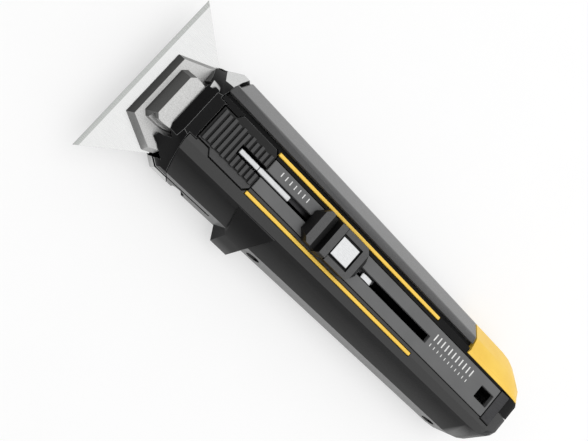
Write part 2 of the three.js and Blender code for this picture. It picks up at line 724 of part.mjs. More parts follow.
function earSpans() {
  const front = DOOR_KNUCKLE_FRONT_X - FIT;
  const rear = DOOR_KNUCKLE_REAR_X + FIT;
  return [[front - DOOR_EAR_LENGTH, front], [rear, rear + DOOR_EAR_LENGTH]];
}

function doorEars() {
  const reach = DOOR_KNUCKLE_RADIUS;
  const ears = earSpans().map(([x0, x1]) => join(
    alongDoorAxis(reach, x0, x1),
    box(x0, x1, DOOR_AXIS_Y - reach, DOOR_AXIS_Y + reach, 0, DOOR_AXIS_Z)));
  return join(...ears).intersect(handleBody(0));
}

function doorRoom() {
  return join(
    alongDoorAxis(DOOR_ROOM_RADIUS, DOOR_ROOM_X, FAR),
    box(DOOR_ROOM_X, FAR, DOOR_AXIS_Y, FAR, -FAR, DOOR_AXIS_Z + FIT));
}

function doorPinHole() {
  const [[front], [, rear]] = earSpans();
  return alongDoorAxis(DOOR_PIN_RADIUS + FIT, front - FIT, rear + FIT);
}

function storageDoor() {
  const frontCore = handleBody(DOOR_SKIN).intersect(box(0, DOOR_FRONT_OUTER_X + FIT, -FAR, FAR, 0, FAR));
  const shell = handleBody(0).intersect(doorZone(0)).subtract(frontCore);
  const knuckle = alongDoorAxis(DOOR_KNUCKLE_RADIUS, DOOR_KNUCKLE_FRONT_X, DOOR_KNUCKLE_REAR_X);
  const earRooms = earSpans().map(([x0, x1]) =>
    alongDoorAxis(DOOR_KNUCKLE_RADIUS + SWEEP_FIT, x0 - FIT, x1 + FIT));
  const lip = acrossBody(
    DOOR_LIP_DEPTH * 2, TAIL_X, PANEL_Z / 2, HANDLE_AXIS_Y + DOOR_INNER + DOOR_LIP_DEPTH, FAR);
  return cut(join(shell, knuckle), ...earRooms, doorPinHole(), lip);
}

function doorPin() {
  const [[front], [, rear]] = earSpans();
  return alongDoorAxis(DOOR_PIN_RADIUS, front, rear);
}

function storeLeaf() {
  const y = HANDLE_AXIS_Y + STORE_INNER + FIT;
  return box(
    SPARE_FRONT_X, SPARE_REAR_X - NOTCH_SPACING, y, y + LEAF_THICKNESS,
    SPARE_LOW_Z + NOTCH_DEPTH, SPARE_TOP_Z - NOTCH_DEPTH);
}

// Blade: flat trapezoid with a ground edge at X = 0 and two notches in its back
function bladeOutline() {
  const notch = (y) => [
    [BLADE_HEIGHT, y - NOTCH_WIDTH / 2],
    [BLADE_HEIGHT - NOTCH_DEPTH, y - NOTCH_WIDTH / 2],
    [BLADE_HEIGHT - NOTCH_DEPTH, y + NOTCH_WIDTH / 2],
    [BLADE_HEIGHT, y + NOTCH_WIDTH / 2],
  ];
  return [
    [0, -BLADE_LENGTH / 2],
    [BLADE_HEIGHT, -BLADE_BACK / 2],
    ...notch(-NOTCH_SPACING / 2),
    ...notch(NOTCH_SPACING / 2),
    [BLADE_HEIGHT, BLADE_BACK / 2],
    [0, BLADE_LENGTH / 2],
  ];
}

function blade() {
  const half = BLADE_THICKNESS / 2;
  const wide = EDGE_GRIND;
  const grind = (side) => crosswise([
    [-wide, side * EDGE_LAND],
    [0, side * EDGE_LAND],
    [wide, side * half],
    [wide, side * wide],
    [-wide, side * wide],
  ], -FAR, FAR);
  return cut(raised(bladeOutline(), -half, half), grind(1), grind(-1));
}

// Head: bevelled plate with a raised block on top, both round the pivot
function plateOutline(bevel) {
  const half = [
    [PLATE_FRONT_X + bevel, PLATE_FRONT_HALF - bevel / 2],
    [PLATE_WIDE_X, PLATE_WIDE_HALF - bevel],
    [PLATE_REAR_X, PLATE_REAR_HALF - bevel],
  ];
  return mirrored(half);
}

function blockOutline(draft) {
  const half = [
    [BLOCK_FRONT_X + draft, BLOCK_FRONT_HALF - draft / 2],
    [BLOCK_CORNER_X + draft, BLOCK_RADIUS - draft / 2],
  ];
  for (let step = 0; step <= BLOCK_STEPS; step += 1) {
    const turn = Math.PI / 2 * (1 - step / BLOCK_STEPS);
    const radius = BLOCK_RADIUS - draft / 2;
    half.push([PIVOT_X + radius * Math.cos(turn), radius * Math.sin(turn)]);
  }
  return mirrored(half.slice(0, -1), half.at(-1));
}

function mirrored(half, last) {
  const belly = half.map(([x, y]) => [x, -y]);
  const spine = [...half].reverse();
  return last ? [...belly, last, ...spine] : [...belly, ...spine];
}

function atLevel(points, z) {
  return points.map(([x, y]) => [x, y, z]);
}

function clevisSlot() {
  const reach = TONGUE_RADIUS + SWEEP_FIT;
  return box(PIVOT_X - reach, FAR, -FAR, reach, TONGUE_LOW_Z - FIT, TONGUE_TOP_Z + FIT);
}

function studPlaces() {
  return [-1, 1].map((side) => [STUD_X, side * NOTCH_SPACING / 2]);
}

function studHoles(z0, z1) {
  return join(...studPlaces().map(([x, y]) => upright(STUD_RADIUS + FIT, x, y, z0, z1)));
}

function upperJaw() {
  const lowZ = BLADE_TOP_Z + FIT;
  const plate = loft([atLevel(plateOutline(0), lowZ), atLevel(plateOutline(PLATE_BEVEL), PLATE_TOP_Z)]);
  const block = loft([
    atLevel(blockOutline(0), PLATE_TOP_Z - FIT),
    atLevel(blockOutline(BLOCK_DRAFT), BLOCK_TOP_Z),
  ]);
  const pinHole = upright(PIN_RADIUS + FIT, PIVOT_X, 0, 0, PIN_TOP_Z + FIT);
  return cut(join(plate, block), clevisSlot(), pinHole, studHoles(0, STUD_TOP_Z + FIT));
}

function lowerJaw() {
  const topZ = BLADE_LOW_Z - FIT;
  const plate = loft([
    atLevel(plateOutline(JAW_INSET + PLATE_BEVEL), LOWER_JAW_Z),
    atLevel(plateOutline(JAW_INSET), topZ),
  ]);
  const magnetSeat = upright(MAGNET_RADIUS + FIT, MAGNET_X, 0, topZ - MAGNET_HEIGHT - FIT, FAR);
  const heads = studPlaces().map(([x, y]) =>
    upright(STUD_HEAD_RADIUS + FIT, x, y, 0, LOWER_JAW_Z + STUD_HEAD_HEIGHT + FIT));
  return cut(plate, magnetSeat, studHoles(0, FAR), ...heads);
}

function jawStud([x, y]) {
  const head = upright(STUD_HEAD_RADIUS, x, y, LOWER_JAW_Z, LOWER_JAW_Z + STUD_HEAD_HEIGHT);
  const shank = upright(STUD_RADIUS, x, y, LOWER_JAW_Z, STUD_TOP_Z);
  const slot = box(x - FAR, x + FAR, y - CROSS_WIDTH / 2, y + CROSS_WIDTH / 2, 0, LOWER_JAW_Z + CROSS_WIDTH);
  return cut(join(head, shank), slot);
}

function jawMagnet() {
  const topZ = BLADE_LOW_Z - FIT;
  return upright(MAGNET_RADIUS, MAGNET_X, 0, topZ - MAGNET_HEIGHT, topZ);
}

function pivotPin() {
  return upright(PIN_RADIUS, PIVOT_X, 0, BLADE_TOP_Z + FIT, PIN_TOP_Z);
}

// Carriage: link, rod, sled and slider move together
function pivotLink() {
  const tongue = join(
    upright(TONGUE_RADIUS, PIVOT_X, 0, TONGUE_LOW_Z, TONGUE_TOP_Z),
    box(
      PIVOT_X, LINK_BOSS_REAR_X, HANDLE_AXIS_Y - CHANNEL_HALF + FIT, TONGUE_RADIUS,
      TONGUE_LOW_Z, TONGUE_TOP_Z));
  const half = TONGUE_RADIUS;
  const boss = box(
    LINK_BOSS_FRONT_X, LINK_BOSS_REAR_X, HANDLE_AXIS_Y - half, HANDLE_AXIS_Y + half,
    TONGUE_LOW_Z, LINK_BOSS_TOP_Z);
  const pinHole = upright(PIN_RADIUS + FIT, PIVOT_X, 0, 0, FAR);
  return cut(join(tongue, boss), pinHole, rodBore());
}

function rodBore() {
  return lengthwise(
    ROD_RADIUS + FIT, LINK_BOSS_FRONT_X + FIT, SLED_FRONT_X + ROD_SEAT, HANDLE_AXIS_Y, ROD_Z);
}

function driveRod() {
  return lengthwise(
    ROD_RADIUS, LINK_BOSS_FRONT_X + 2 * FIT, SLED_FRONT_X + ROD_SEAT - FIT, HANDLE_AXIS_Y, ROD_Z);
}

function sled() {
  const half = CHANNEL_HALF - FIT;
  const block = box(
    SLED_FRONT_X, SLED_REAR_X, HANDLE_AXIS_Y - half, HANDLE_AXIS_Y + half,
    CHANNEL_LOW_Z + FIT, SLED_TOP_Z);
  const stemSeat = box(
    STEM_FRONT_X - FIT, STEM_REAR_X + FIT,
    HANDLE_AXIS_Y - STEM_WIDTH / 2 - FIT, HANDLE_AXIS_Y + STEM_WIDTH / 2 + FIT, STEM_LOW_Z - FIT, FAR);
  return cut(block, stemSeat, rodBore());
}

function detentTab() {
  const lowZ = SLED_TOP_Z + FIT;
  return crosswise([
    [DETENT_FRONT_X, lowZ],
    [DETENT_REAR_X, lowZ],
    [DETENT_REAR_X, lowZ + DETENT_HEIGHT / 2],
    [DETENT_REAR_X - DETENT_HEIGHT, lowZ + DETENT_HEIGHT],
    [DETENT_FRONT_X + DETENT_HEIGHT, lowZ + DETENT_HEIGHT],
    [DETENT_FRONT_X, lowZ + DETENT_HEIGHT / 2],
  ], HANDLE_AXIS_Y - DETENT_WIDTH / 2, HANDLE_AXIS_Y + DETENT_WIDTH / 2);
}

// Side outline of the slider: nose slope, front ridge, valley, button deck
function sliderOutline() {
  const low = SLIDER_LOW_Z;
  const valley = low + VALLEY_HEIGHT;
  return [
    [SLIDER_FRONT_X, low],
    [SLIDER_REAR_X, low],
    [SLIDER_REAR_X, low + SLIDER_TOE],
    [SLIDER_REAR_X - SLIDER_HEEL, DECK_Z],
    [VALLEY_REAR_X + VALLEY_SLOPE, DECK_Z],
    [VALLEY_REAR_X, valley],
    [VALLEY_FRONT_X + VALLEY_SLOPE, valley],
    [VALLEY_FRONT_X, low + FRONT_RIDGE_HEIGHT],
    [FRONT_RIDGE_X, low + FRONT_RIDGE_HEIGHT],
    [SLIDER_FRONT_X, low + SLIDER_TOE],
  ];
}

// Plan of the slider with cut corners
function sliderPlan() {
  const front = SLIDER_FRONT_CORNER;
  const rear = SLIDER_REAR_CORNER;
  const half = [
    [SLIDER_FRONT_X, SLIDER_HALF - front],
    [SLIDER_FRONT_X + front, SLIDER_HALF],
    [SLIDER_REAR_X - rear, SLIDER_HALF],
    [SLIDER_REAR_X, SLIDER_HALF - rear],
  ];
  return mirrored(half).map(([x, y]) => [x, y + HANDLE_AXIS_Y]);
}

// Tall thumb ridge in front of the button, narrower at its top
function thumbRidge() {
  const ring = (draft, z) => [
    [VALLEY_REAR_X + draft / 2, HANDLE_AXIS_Y - RIDGE_HALF + draft, z],
    [RIDGE_REAR_X, HANDLE_AXIS_Y - RIDGE_HALF + draft, z],
    [RIDGE_REAR_X, HANDLE_AXIS_Y + RIDGE_HALF - draft, z],
    [VALLEY_REAR_X + draft / 2, HANDLE_AXIS_Y + RIDGE_HALF - draft, z],
  ];
  return loft([ring(0, SLIDER_LOW_Z + FIT), ring(RIDGE_DRAFT, SLIDER_LOW_Z + RIDGE_HEIGHT)]);
}

function buttonSeatLowZ() {
  return BUTTON_TOP_Z - BUTTON_HEIGHT - BUTTON_TRAVEL - FIT;
}

// Sunk border round the button, and a crease between the ridge and the button across the whole deck
function buttonMoat() {
  const lowZ = DECK_Z - MOAT_DEPTH;
  const reach = BUTTON_HALF + MOAT_WIDTH;
  return join(
    box(RIDGE_REAR_X, BUTTON_REAR_X + MOAT_WIDTH, BUTTON_Y - reach, BUTTON_Y + reach, lowZ, FAR),
    box(RIDGE_REAR_X, BUTTON_FRONT_X, -FAR, FAR, lowZ, FAR));
}

function sliderBody() {
  const hull = crosswise(sliderOutline(), -FAR, FAR).intersect(raised(sliderPlan(), 0, FAR));
  const stem = box(
    STEM_FRONT_X, STEM_REAR_X, HANDLE_AXIS_Y - STEM_WIDTH / 2, HANDLE_AXIS_Y + STEM_WIDTH / 2,
    STEM_LOW_Z, SLIDER_LOW_Z + FIT);
  const reach = BUTTON_HALF + FIT;
  const seat = box(
    BUTTON_FRONT_X - FIT, BUTTON_REAR_X + FIT, BUTTON_Y - reach, BUTTON_Y + reach, buttonSeatLowZ(), FAR);
  return cut(join(hull, thumbRidge(), stem), seat, buttonMoat());
}

function lockButton() {
  const reach = BUTTON_HALF;
  const lowZ = BUTTON_TOP_Z - BUTTON_HEIGHT;
  return box(BUTTON_FRONT_X, BUTTON_REAR_X, BUTTON_Y - reach, BUTTON_Y + reach, lowZ, BUTTON_TOP_Z);
}

// Coil springs: one unbroken wire along a helix, its least gap to itself measured
class Helix extends THREE.Curve {
  constructor(radius, curls, height) {
    super();
    Object.assign(this, { radius, curls, height });
  }

  getPoint(t, target = new THREE.Vector3()) {
    const turn = t * this.curls * Math.PI * 2;
    return target.set(this.radius * Math.cos(turn), this.radius * Math.sin(turn), t * this.height);
  }
}

function wireGap(curve, curls) {
  const points = curve.getPoints(curls * CURL_STEPS);
  let least = Infinity;
  points.forEach((a, i) => points.slice(i + CURL_STEPS / 2 + 1).forEach((b) => {
    least = Math.min(least, a.distanceTo(b) - 2 * WIRE_RADIUS);
  }));
  return least;
}

function coilSpring(name, radius, curls, height) {
  const curve = new Helix(radius, curls, height - 2 * WIRE_RADIUS);
  const ring = [];
  for (let side = 0; side < WIRE_SIDES; side += 1) {
    const turn = side / WIRE_SIDES * Math.PI * 2;
    ring.push([WIRE_RADIUS * Math.cos(turn), WIRE_RADIUS * Math.sin(turn)]);
  }
  console.log(`${name} least gap to itself ${wireGap(curve, curls).toFixed(2)} mm`);
  return new THREE.ExtrudeGeometry(
    outline(ring), { steps: curls * CURL_STEPS, extrudePath: curve, bevelEnabled: false });
}

// Bowed leaf under the lock button
function buttonSpring() {
  const middle = (BUTTON_FRONT_X + BUTTON_REAR_X) / 2;
  const lowZ = buttonSeatLowZ() + FIT;
  const crownZ = BUTTON_TOP_Z - BUTTON_HEIGHT - FIT;
  const rise = BUTTON_LEAF_THICKNESS;
  return crosswise([
    [middle - LEAF_SPAN / 2, lowZ],
    [middle - LEAF_SPAN / 4, lowZ],
    [middle, crownZ - rise],
    [middle + LEAF_SPAN / 4, lowZ],
    [middle + LEAF_SPAN / 2, lowZ],
    [middle + LEAF_SPAN / 2, lowZ + rise],
    [middle + LEAF_SPAN / 4, lowZ + rise],
    [middle, crownZ],
    [middle - LEAF_SPAN / 4, lowZ + rise],
    [middle - LEAF_SPAN / 2, lowZ + rise],
  ], BUTTON_Y - LEAF_WIDTH / 2, BUTTON_Y + LEAF_WIDTH / 2);
}

// Finishes
const finish = (color, roughness, metalness) => ({ color, roughness, metalness });
const FINISHES = {
  shell: finish(0x2b2c2e, 0.6, 0),
  grip: finish(0x8f9194, 0.8, 0),
  panel: finish(0x6f7173, 0.5, 0),
  collar: finish(0x1c1d1f, 0.4, 0),
  pad: finish(0x222325, 0.55, 0),
  accent: finish(0xe0a92a, 0.45, 0),
  cast: finish(0xc9cacc, 0.45, 0.9),
  steel: finish(0xd6d8da, 0.3, 1),
  dark: finish(0x3a3b3d, 0.5, 0.6),
};

function piece(name, shape, finishName) {
  const geometry = shape.isBufferGeometry ? shape : geometryOf(shape);
  const mesh = new THREE.Mesh(geometry, new THREE.MeshStandardMaterial(FINISHES[finishName]));
  mesh.name = name;
  return mesh;
}

function handlePieces() {
  return [
    piece('belly_shell', bellyShell(), 'shell'),
    piece('spine_shell', spineShell(), 'shell'),
    piece('spine_grip', spineGrip(), 'grip'),
    piece('nose_collar', noseCollar(), 'collar'),
    piece('track_panel', trackPanel(), 'panel'),
    piece('accent_strip_belly', stripSolid(-1, 0), 'accent'),
    piece('accent_strip_spine', stripSolid(1, 0), 'accent'),
    piece('stop_bar', stopBar(), 'steel'),
    piece('lanyard_bar', endBarSolid(0), 'dark'),
    piece('door_pin', doorPin(), 'steel'),
    piece('store_leaf', storeLeaf(), 'steel'),
    ...screwPlaces().map((place) => piece(`body_screw_${place[0]}`, bodyScrew(place), 'steel')),
  ];
}

// Turns a blade from flat to standing on its edge, lengthwise
const ON_EDGE = new THREE.Matrix4().makeBasis(
  new THREE.Vector3(0, 0, 1), new THREE.Vector3(1, 0, 0), new THREE.Vector3(0, 1, 0));

function spareBlades() {
  const spares = new THREE.Group();
  for (let i = 0; i < SPARE_COUNT; i += 1) {
    const spare = piece(`spare_blade_${i + 1}`, blade(), 'steel');
    const pitch = BLADE_THICKNESS + FIT;
    const y = HANDLE_AXIS_Y + STORE_INNER + 2 * FIT + LEAF_THICKNESS + BLADE_THICKNESS / 2 + i * pitch;
    spare.setRotationFromMatrix(ON_EDGE);
    spare.position.set(SPARE_FRONT_X + BLADE_LENGTH / 2, y, SPARE_LOW_Z);
    spares.add(spare);
  }
  return spares;
}

function carriagePieces() {
  return [
    piece('slider_body', sliderBody(), 'pad'),
    piece('lock_button', lockButton(), 'steel'),
    piece('sled', sled(), 'dark'),
    piece('drive_rod', driveRod(), 'steel'),
    piece('pivot_link', pivotLink(), 'steel'),
    piece('detent_tab', detentTab(), 'steel'),
  ];
}

function springPieces() {
  const springs = new THREE.Group();
  springs.add(piece('button_spring', buttonSpring(), 'steel'));
  padSpringPlaces().forEach(([x, y], i) => {
    const name = `pad_spring_${i === 0 ? 'belly' : 'spine'}`;
    const spring = piece(
      name, coilSpring(name, PAD_SPRING_RADIUS, PAD_SPRING_CURLS, PAD_SPRING_LENGTH - FIT), 'steel');
    spring.position.set(x, y, PANEL_Z - PAD_THICKNESS - PAD_SPRING_LENGTH + WIRE_RADIUS);
    springs.add(spring);
  });
  return springs;
}

function headPieces() {
  return [
    piece('upper_jaw', upperJaw(), 'cast'),
    piece('lower_jaw', lowerJaw(), 'cast'),
    piece('pivot_pin', pivotPin(), 'steel'),
    piece('jaw_magnet', jawMagnet(), 'dark'),
    ...studPlaces().map((place, i) =>
      piece(`jaw_stud_${i === 0 ? 'belly' : 'spine'}`, jawStud(place), 'steel')),
  ];
}

const mountedBlade = piece('blade', blade(), 'steel');
mountedBlade.position.z = BLADE_PLANE_Z;

const knife = new THREE.Group();
knife.name = 'scraper_utility_knife';
knife.position.x = -TAIL_X / 2;
knife.add(
  ...handlePieces(), spareBlades(), ...carriagePieces(), springPieces(), ...headPieces(), mountedBlade,
  piece('release_pad', releasePad(), 'pad'), piece('storage_door', storageDoor(), 'accent'));

export default knife;
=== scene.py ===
"""Scraper utility knife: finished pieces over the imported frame, studio light and the photograph's camera."""
import json
import math

import bmesh
import bpy
from mathutils import Matrix, Vector


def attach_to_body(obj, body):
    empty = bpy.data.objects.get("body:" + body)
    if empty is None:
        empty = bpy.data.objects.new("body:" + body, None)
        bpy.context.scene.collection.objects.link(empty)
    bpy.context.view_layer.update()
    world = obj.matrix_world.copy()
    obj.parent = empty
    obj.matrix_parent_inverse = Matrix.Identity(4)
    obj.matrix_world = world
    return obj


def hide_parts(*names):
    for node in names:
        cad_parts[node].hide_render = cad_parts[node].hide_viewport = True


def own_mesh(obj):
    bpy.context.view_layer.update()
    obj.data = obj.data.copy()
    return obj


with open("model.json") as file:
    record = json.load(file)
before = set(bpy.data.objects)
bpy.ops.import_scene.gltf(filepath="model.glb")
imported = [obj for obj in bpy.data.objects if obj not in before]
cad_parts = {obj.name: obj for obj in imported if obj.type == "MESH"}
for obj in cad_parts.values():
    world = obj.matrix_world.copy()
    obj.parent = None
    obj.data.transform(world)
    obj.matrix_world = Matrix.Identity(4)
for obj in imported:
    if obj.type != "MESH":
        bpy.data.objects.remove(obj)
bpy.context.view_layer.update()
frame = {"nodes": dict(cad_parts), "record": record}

MM = 0.001

# Camera, from the outline of the blade and the parallel edges of the panel
IMAGE_WIDTH_PX = 588
FOCAL_PX = 1000
SENSOR_MM = 36
CAMERA_PLACE = (-0.13953, -0.05115, 0.31159)
CAMERA_AIM = (-0.01970, 0.00031, 0.01350)
CAMERA_ROLL_DEG = 110.04
CAMERA_NEAR = 0.01

# Floor, room light and key light
FLOOR_REACH = 1.2
FLOOR_ROUGHNESS = 0.8
FLOOR_GLOW = 0.5
ZENITH_LIGHT = 0.8
HORIZON_LIGHT = 0.55
HORIZON_HEIGHT = 0.1
ZENITH_HEIGHT = 0.9
KEY_AIM = (0, 0, 0.01)
KEY_DIRECTION = (0.37, 0.25, 0.9)
KEY_DISTANCE = 1.0
KEY_SIZE = 1.6
KEY_POWER = 6

# Places on the knife, in metres, in the row frame
NOSE_X = -0.088
AXIS_Y = 0.0016
PANEL_Z = 0.027
GRIND_END_X = NOSE_X + 1.5 * MM
GRIND_FULL_X = NOSE_X + 1.35 * MM
# The painted light on the belly face grows paler from the first height down to the second
BELLY_DARK_Z = 0.0225
BELLY_PALE_Z = 0.0145
# Rib tops and the pad's belly border carry a painted highlight between these places
RIB_FOOT_Z = PANEL_Z + 0.05 * MM
RIB_TOP_Z = PANEL_Z + 0.5 * MM
PAD_BORDER_Y = -0.0043
PAD_BORDER_END_Y = PAD_BORDER_Y + 0.4 * MM
# Flat slider tops above the sunk border round the button carry a painted highlight
SLIDER_MOAT_Z = PANEL_Z + 3.5 * MM
SLIDER_PALE_Z = SLIDER_MOAT_Z + 0.2 * MM
# Where the painted highlight on the rounded edges of the spine shell and of the pad starts and is full
NOSE_EDGE_END_X = NOSE_X + 33 * MM
NOSE_EDGE_FULL_X = NOSE_EDGE_END_X - MM
PAD_EDGE_Y = AXIS_Y + 7.2 * MM
PAD_EDGE_FULL_Y = PAD_EDGE_Y + 0.4 * MM
BAR_JOINT_X = NOSE_X + 43.1 * MM
BAR_JOINT_REACH = 0.2 * MM
BAR_JOINT_FULL = 0.1 * MM
TRIM_FRONT_X = NOSE_X + 18.3 * MM
TRIM_CORNER_X = NOSE_X + 15.5 * MM
TRIM_SPINE_Y = 0.0142
TRIM_BELLY_Z = 0.0115
TRIM_BLUR = 0.1 * MM

# Faces, told by one part of their normal: where a tone starts, and where it is full
# The next four pick faces of the black shell that carry painted light
BELLY_FACE_UP = (0.63, 0.58)
BELLY_FACE_OUT = (-0.7, -0.78)
SHOULDER_UP = (0.74, 0.82)
WALL_OUT = (-0.86, -0.95)
# Painted sheen on the grip faces towards the spine
GRIP_SIDE_OUT = (0.74, 0.8)
# Painted highlight on the slider's flat tops
SLIDER_TOP_UP = (0.93, 0.98)
SPINE_TRIM_OUT = (0.4, 0.45)
BELLY_TRIM_OUT = (-0.8, -0.85)
CORNER_AHEAD = (-0.6, -0.66)
CORNER_OUT_LEAST = (0.28, 0.32)
CORNER_OUT_MOST = (0.48, 0.44)
# Casting walls that carry painted shade
CAST_WALL_AHEAD = (-0.35, -0.75)

# Patterns, in waves per metre
TONE_DRIFT = 90
FLOOR_DRIFT = 40
FINE_GRAIN = 2600
SOFT_GRAIN = 2200
PANEL_GRAIN = 3600
STRIP_GRAIN = 2400
INK_GRAIN = 3500
TURNING_MARKS = (700, 5000, 5000)
BLADE_BRUSHING = (300, 9000, 300)
PATTERN_LOW = 0.3
PATTERN_HIGH = 0.7

# Tones that vary with a pattern, each a dark and a light end
SHELL_BLACK = ((0.004, 0.004, 0.0043), (0.007, 0.007, 0.0073))
DEEP_BLACK = ((0.004, 0.004, 0.0042), (0.007, 0.007, 0.0072))
GRIP_GREY = ((0.024, 0.024, 0.025), (0.034, 0.034, 0.035))
PANEL_GREY = ((0.115, 0.116, 0.117), (0.135, 0.136, 0.137))
WARM_YELLOW = ((0.9, 0.56, 0.055), (0.96, 0.63, 0.08))
# Painted highlight on the pad's ribs and belly border
PAD_PAINTED_HIGHLIGHT = ((0.046, 0.046, 0.0465), (0.064, 0.064, 0.065))
# Painted highlight on the slider's flat tops
SLIDER_PAINTED_HIGHLIGHT = ((0.075, 0.075, 0.076), (0.1, 0.1, 0.101))
# Painted highlights on rounded edges: the collar's, and those of the spine shell and pad
COLLAR_EDGE_PAINTED_HIGHLIGHT = ((0.15, 0.151, 0.152), (0.2, 0.201, 0.202))
LIT_EDGE_GREY = ((0.12, 0.121, 0.122), (0.16, 0.161, 0.162))
TRIM_SILVER = ((0.6, 0.605, 0.6), (0.7, 0.705, 0.7))
CAST_SILVER = ((0.38, 0.38, 0.375), (0.56, 0.56, 0.555))
BLADE_FLAT = ((0.51, 0.515, 0.515), (0.6, 0.6, 0.595))
BLADE_GROUND = ((0.3, 0.31, 0.3), (0.4, 0.41, 0.4))
BAR_METAL = ((0.42, 0.425, 0.43), (0.55, 0.555, 0.56))
BRIGHT_METAL = ((0.46, 0.465, 0.47), (0.6, 0.605, 0.61))
DARK_METAL = ((0.035, 0.035, 0.037), (0.06, 0.06, 0.062))
INK_WHITE = ((0.55, 0.55, 0.54), (0.8, 0.8, 0.79))
FLOOR_WHITE = ((0.965, 0.965, 0.965), (0.975, 0.975, 0.975))

# Even tones
# Painted light on the black shell: the paler lower belly face, a highlight on the shoulder and a reflection of
# the floor on the wall
BELLY_PAINTED_LIGHT = (0.042, 0.042, 0.042)
SHOULDER_PAINTED_HIGHLIGHT = (0.062, 0.062, 0.062)
WALL_PAINTED_REFLECTION = (0.2, 0.2, 0.2)
# Painted sheen on the grip's side that faces the spine
GRIP_SIDE_PAINTED_SHEEN = (0.15, 0.15, 0.151)
VALLEY_BLACK = (0.005, 0.005, 0.005)
PLAIN_BLACK = (0.006, 0.006, 0.0062)
JOINT_BLACK = (0.01, 0.01, 0.01)
# Painted shade on the casting's walls that face the cutting edge
CAST_WALL_PAINTED_SHADE = (0.085, 0.085, 0.083)

# Socket numbers of a colour Mix node, whose socket names repeat
MIX_FIRST, MIX_SECOND, MIX_RESULT = 6, 7, 2


# Node materials
class Finish:
    """A procedural material: object coordinates feed colour, roughness and bump of one Principled shader."""

    def __init__(self, name, metallic=0.0, specular=0.5):
        self.material = bpy.data.materials.new(name)
        self.material.use_nodes = True
        self.tree = self.material.node_tree
        self.shader = self.tree.nodes["Principled BSDF"]
        self.shader.inputs["Metallic"].default_value = metallic
        self.shader.inputs["Specular IOR Level"].default_value = specular
        self.place = self.node("ShaderNodeTexCoord").outputs["Object"]
        self.facing = self.place.node.outputs["Normal"]

    def node(self, kind, **settings):
        made = self.tree.nodes.new(kind)
        for key, value in settings.items():
            setattr(made, key, value)
        return made

    def link(self, source, target):
        self.tree.links.new(source, target)

    def noise(self, scale, detail, roughness=0.55, vector=None):
        made = self.node("ShaderNodeTexNoise")
        made.inputs["Scale"].default_value = scale
        made.inputs["Detail"].default_value = detail
        made.inputs["Roughness"].default_value = roughness
        self.link(vector or self.place, made.inputs["Vector"])
        return made.outputs["Fac"]

    def streaks(self, waves_per_m):
        """Noise with its own waves per metre along each axis."""
        mapping = self.node("ShaderNodeMapping")
        mapping.inputs["Scale"].default_value = waves_per_m
        self.link(self.place, mapping.inputs["Vector"])
        return self.noise(1, 3, 0.6, mapping.outputs["Vector"])

    def ramp(self, pattern, tones, start=PATTERN_LOW, end=PATTERN_HIGH):
        made = self.node("ShaderNodeValToRGB")
        dark, light = tones
        first, last = made.color_ramp.elements
        first.position, last.position = start, end
        first.color, last.color = (*dark, 1), (*light, 1)
        self.link(pattern, made.inputs["Fac"])
        return made.outputs["Color"]

    def drifting(self, tones):
        """A tone that changes slowly over the piece."""
        return self.ramp(self.noise(TONE_DRIFT, 4), tones)

    def span(self, source, low, high, start=PATTERN_LOW, end=PATTERN_HIGH):
        made = self.node("ShaderNodeMapRange")
        made.inputs["From Min"].default_value = start
        made.inputs["From Max"].default_value = end
        made.inputs["To Min"].default_value = low
        made.inputs["To Max"].default_value = high
        self.link(source, made.inputs["Value"])
        return made.outputs["Result"]

    def past(self, source, axis, start, end):
        """A share that is 0 before the start and 1 past the end, along one axis of a place or a normal."""
        split = self.node("ShaderNodeSeparateXYZ")
        self.link(source, split.inputs["Vector"])
        return self.span(split.outputs[axis], 0, 1, start, end)

    def combined(self, operation, shares):
        total = shares[0]
        for share in shares[1:]:
            made = self.node("ShaderNodeMath", operation=operation)
            self.link(total, made.inputs[0])
            self.link(share, made.inputs[1])
            total = made.outputs[0]
        return total

    def product(self, *shares):
        return self.combined("MULTIPLY", shares)

    def largest(self, *shares):
        return self.combined("MAXIMUM", shares)

    def mixed(self, share, first, second):
        made = self.node("ShaderNodeMix", data_type="RGBA")
        self.link(share, made.inputs["Factor"])
        for tone, number in ((first, MIX_FIRST), (second, MIX_SECOND)):
            if isinstance(tone, tuple):
                made.inputs[number].default_value = (*tone, 1)
            else:
                self.link(tone, made.inputs[number])
        return made.outputs[MIX_RESULT]

    def colour(self, tone):
        self.link(tone, self.shader.inputs["Base Color"])

    def completed(self, tone, pattern, rough, height):
        """Sets the colour, and roughness and bump from one pattern."""
        self.colour(tone)
        self.link(self.span(pattern, *rough), self.shader.inputs["Roughness"])
        bump = self.node("ShaderNodeBump")
        bump.inputs["Distance"].default_value = height
        self.link(pattern, bump.inputs["Height"])
        self.link(bump.outputs["Normal"], self.shader.inputs["Normal"])
        return self.material


def moulded(name, tones, grain_per_m, rough, height, specular=0.5):
    """Moulded plastic with a fine grain and slight tone drift."""
    finish = Finish(name, specular=specular)
    return finish.completed(finish.drifting(tones), finish.noise(grain_per_m, 2), rough, height)


def grip_rubber(name):
    """Soft grey rubber with a painted sheen that makes it paler on the side that faces the spine."""
    finish = Finish(name, specular=0.6)
    finish.shader.inputs["Sheen Weight"].default_value = 0.15
    side = finish.past(finish.facing, "Y", *GRIP_SIDE_OUT)
    tone = finish.mixed(side, finish.drifting(GRIP_GREY), GRIP_SIDE_PAINTED_SHEEN)
    return finish.completed(tone, finish.noise(SOFT_GRAIN, 2), rough=(0.36, 0.5), height=0.07 * MM)


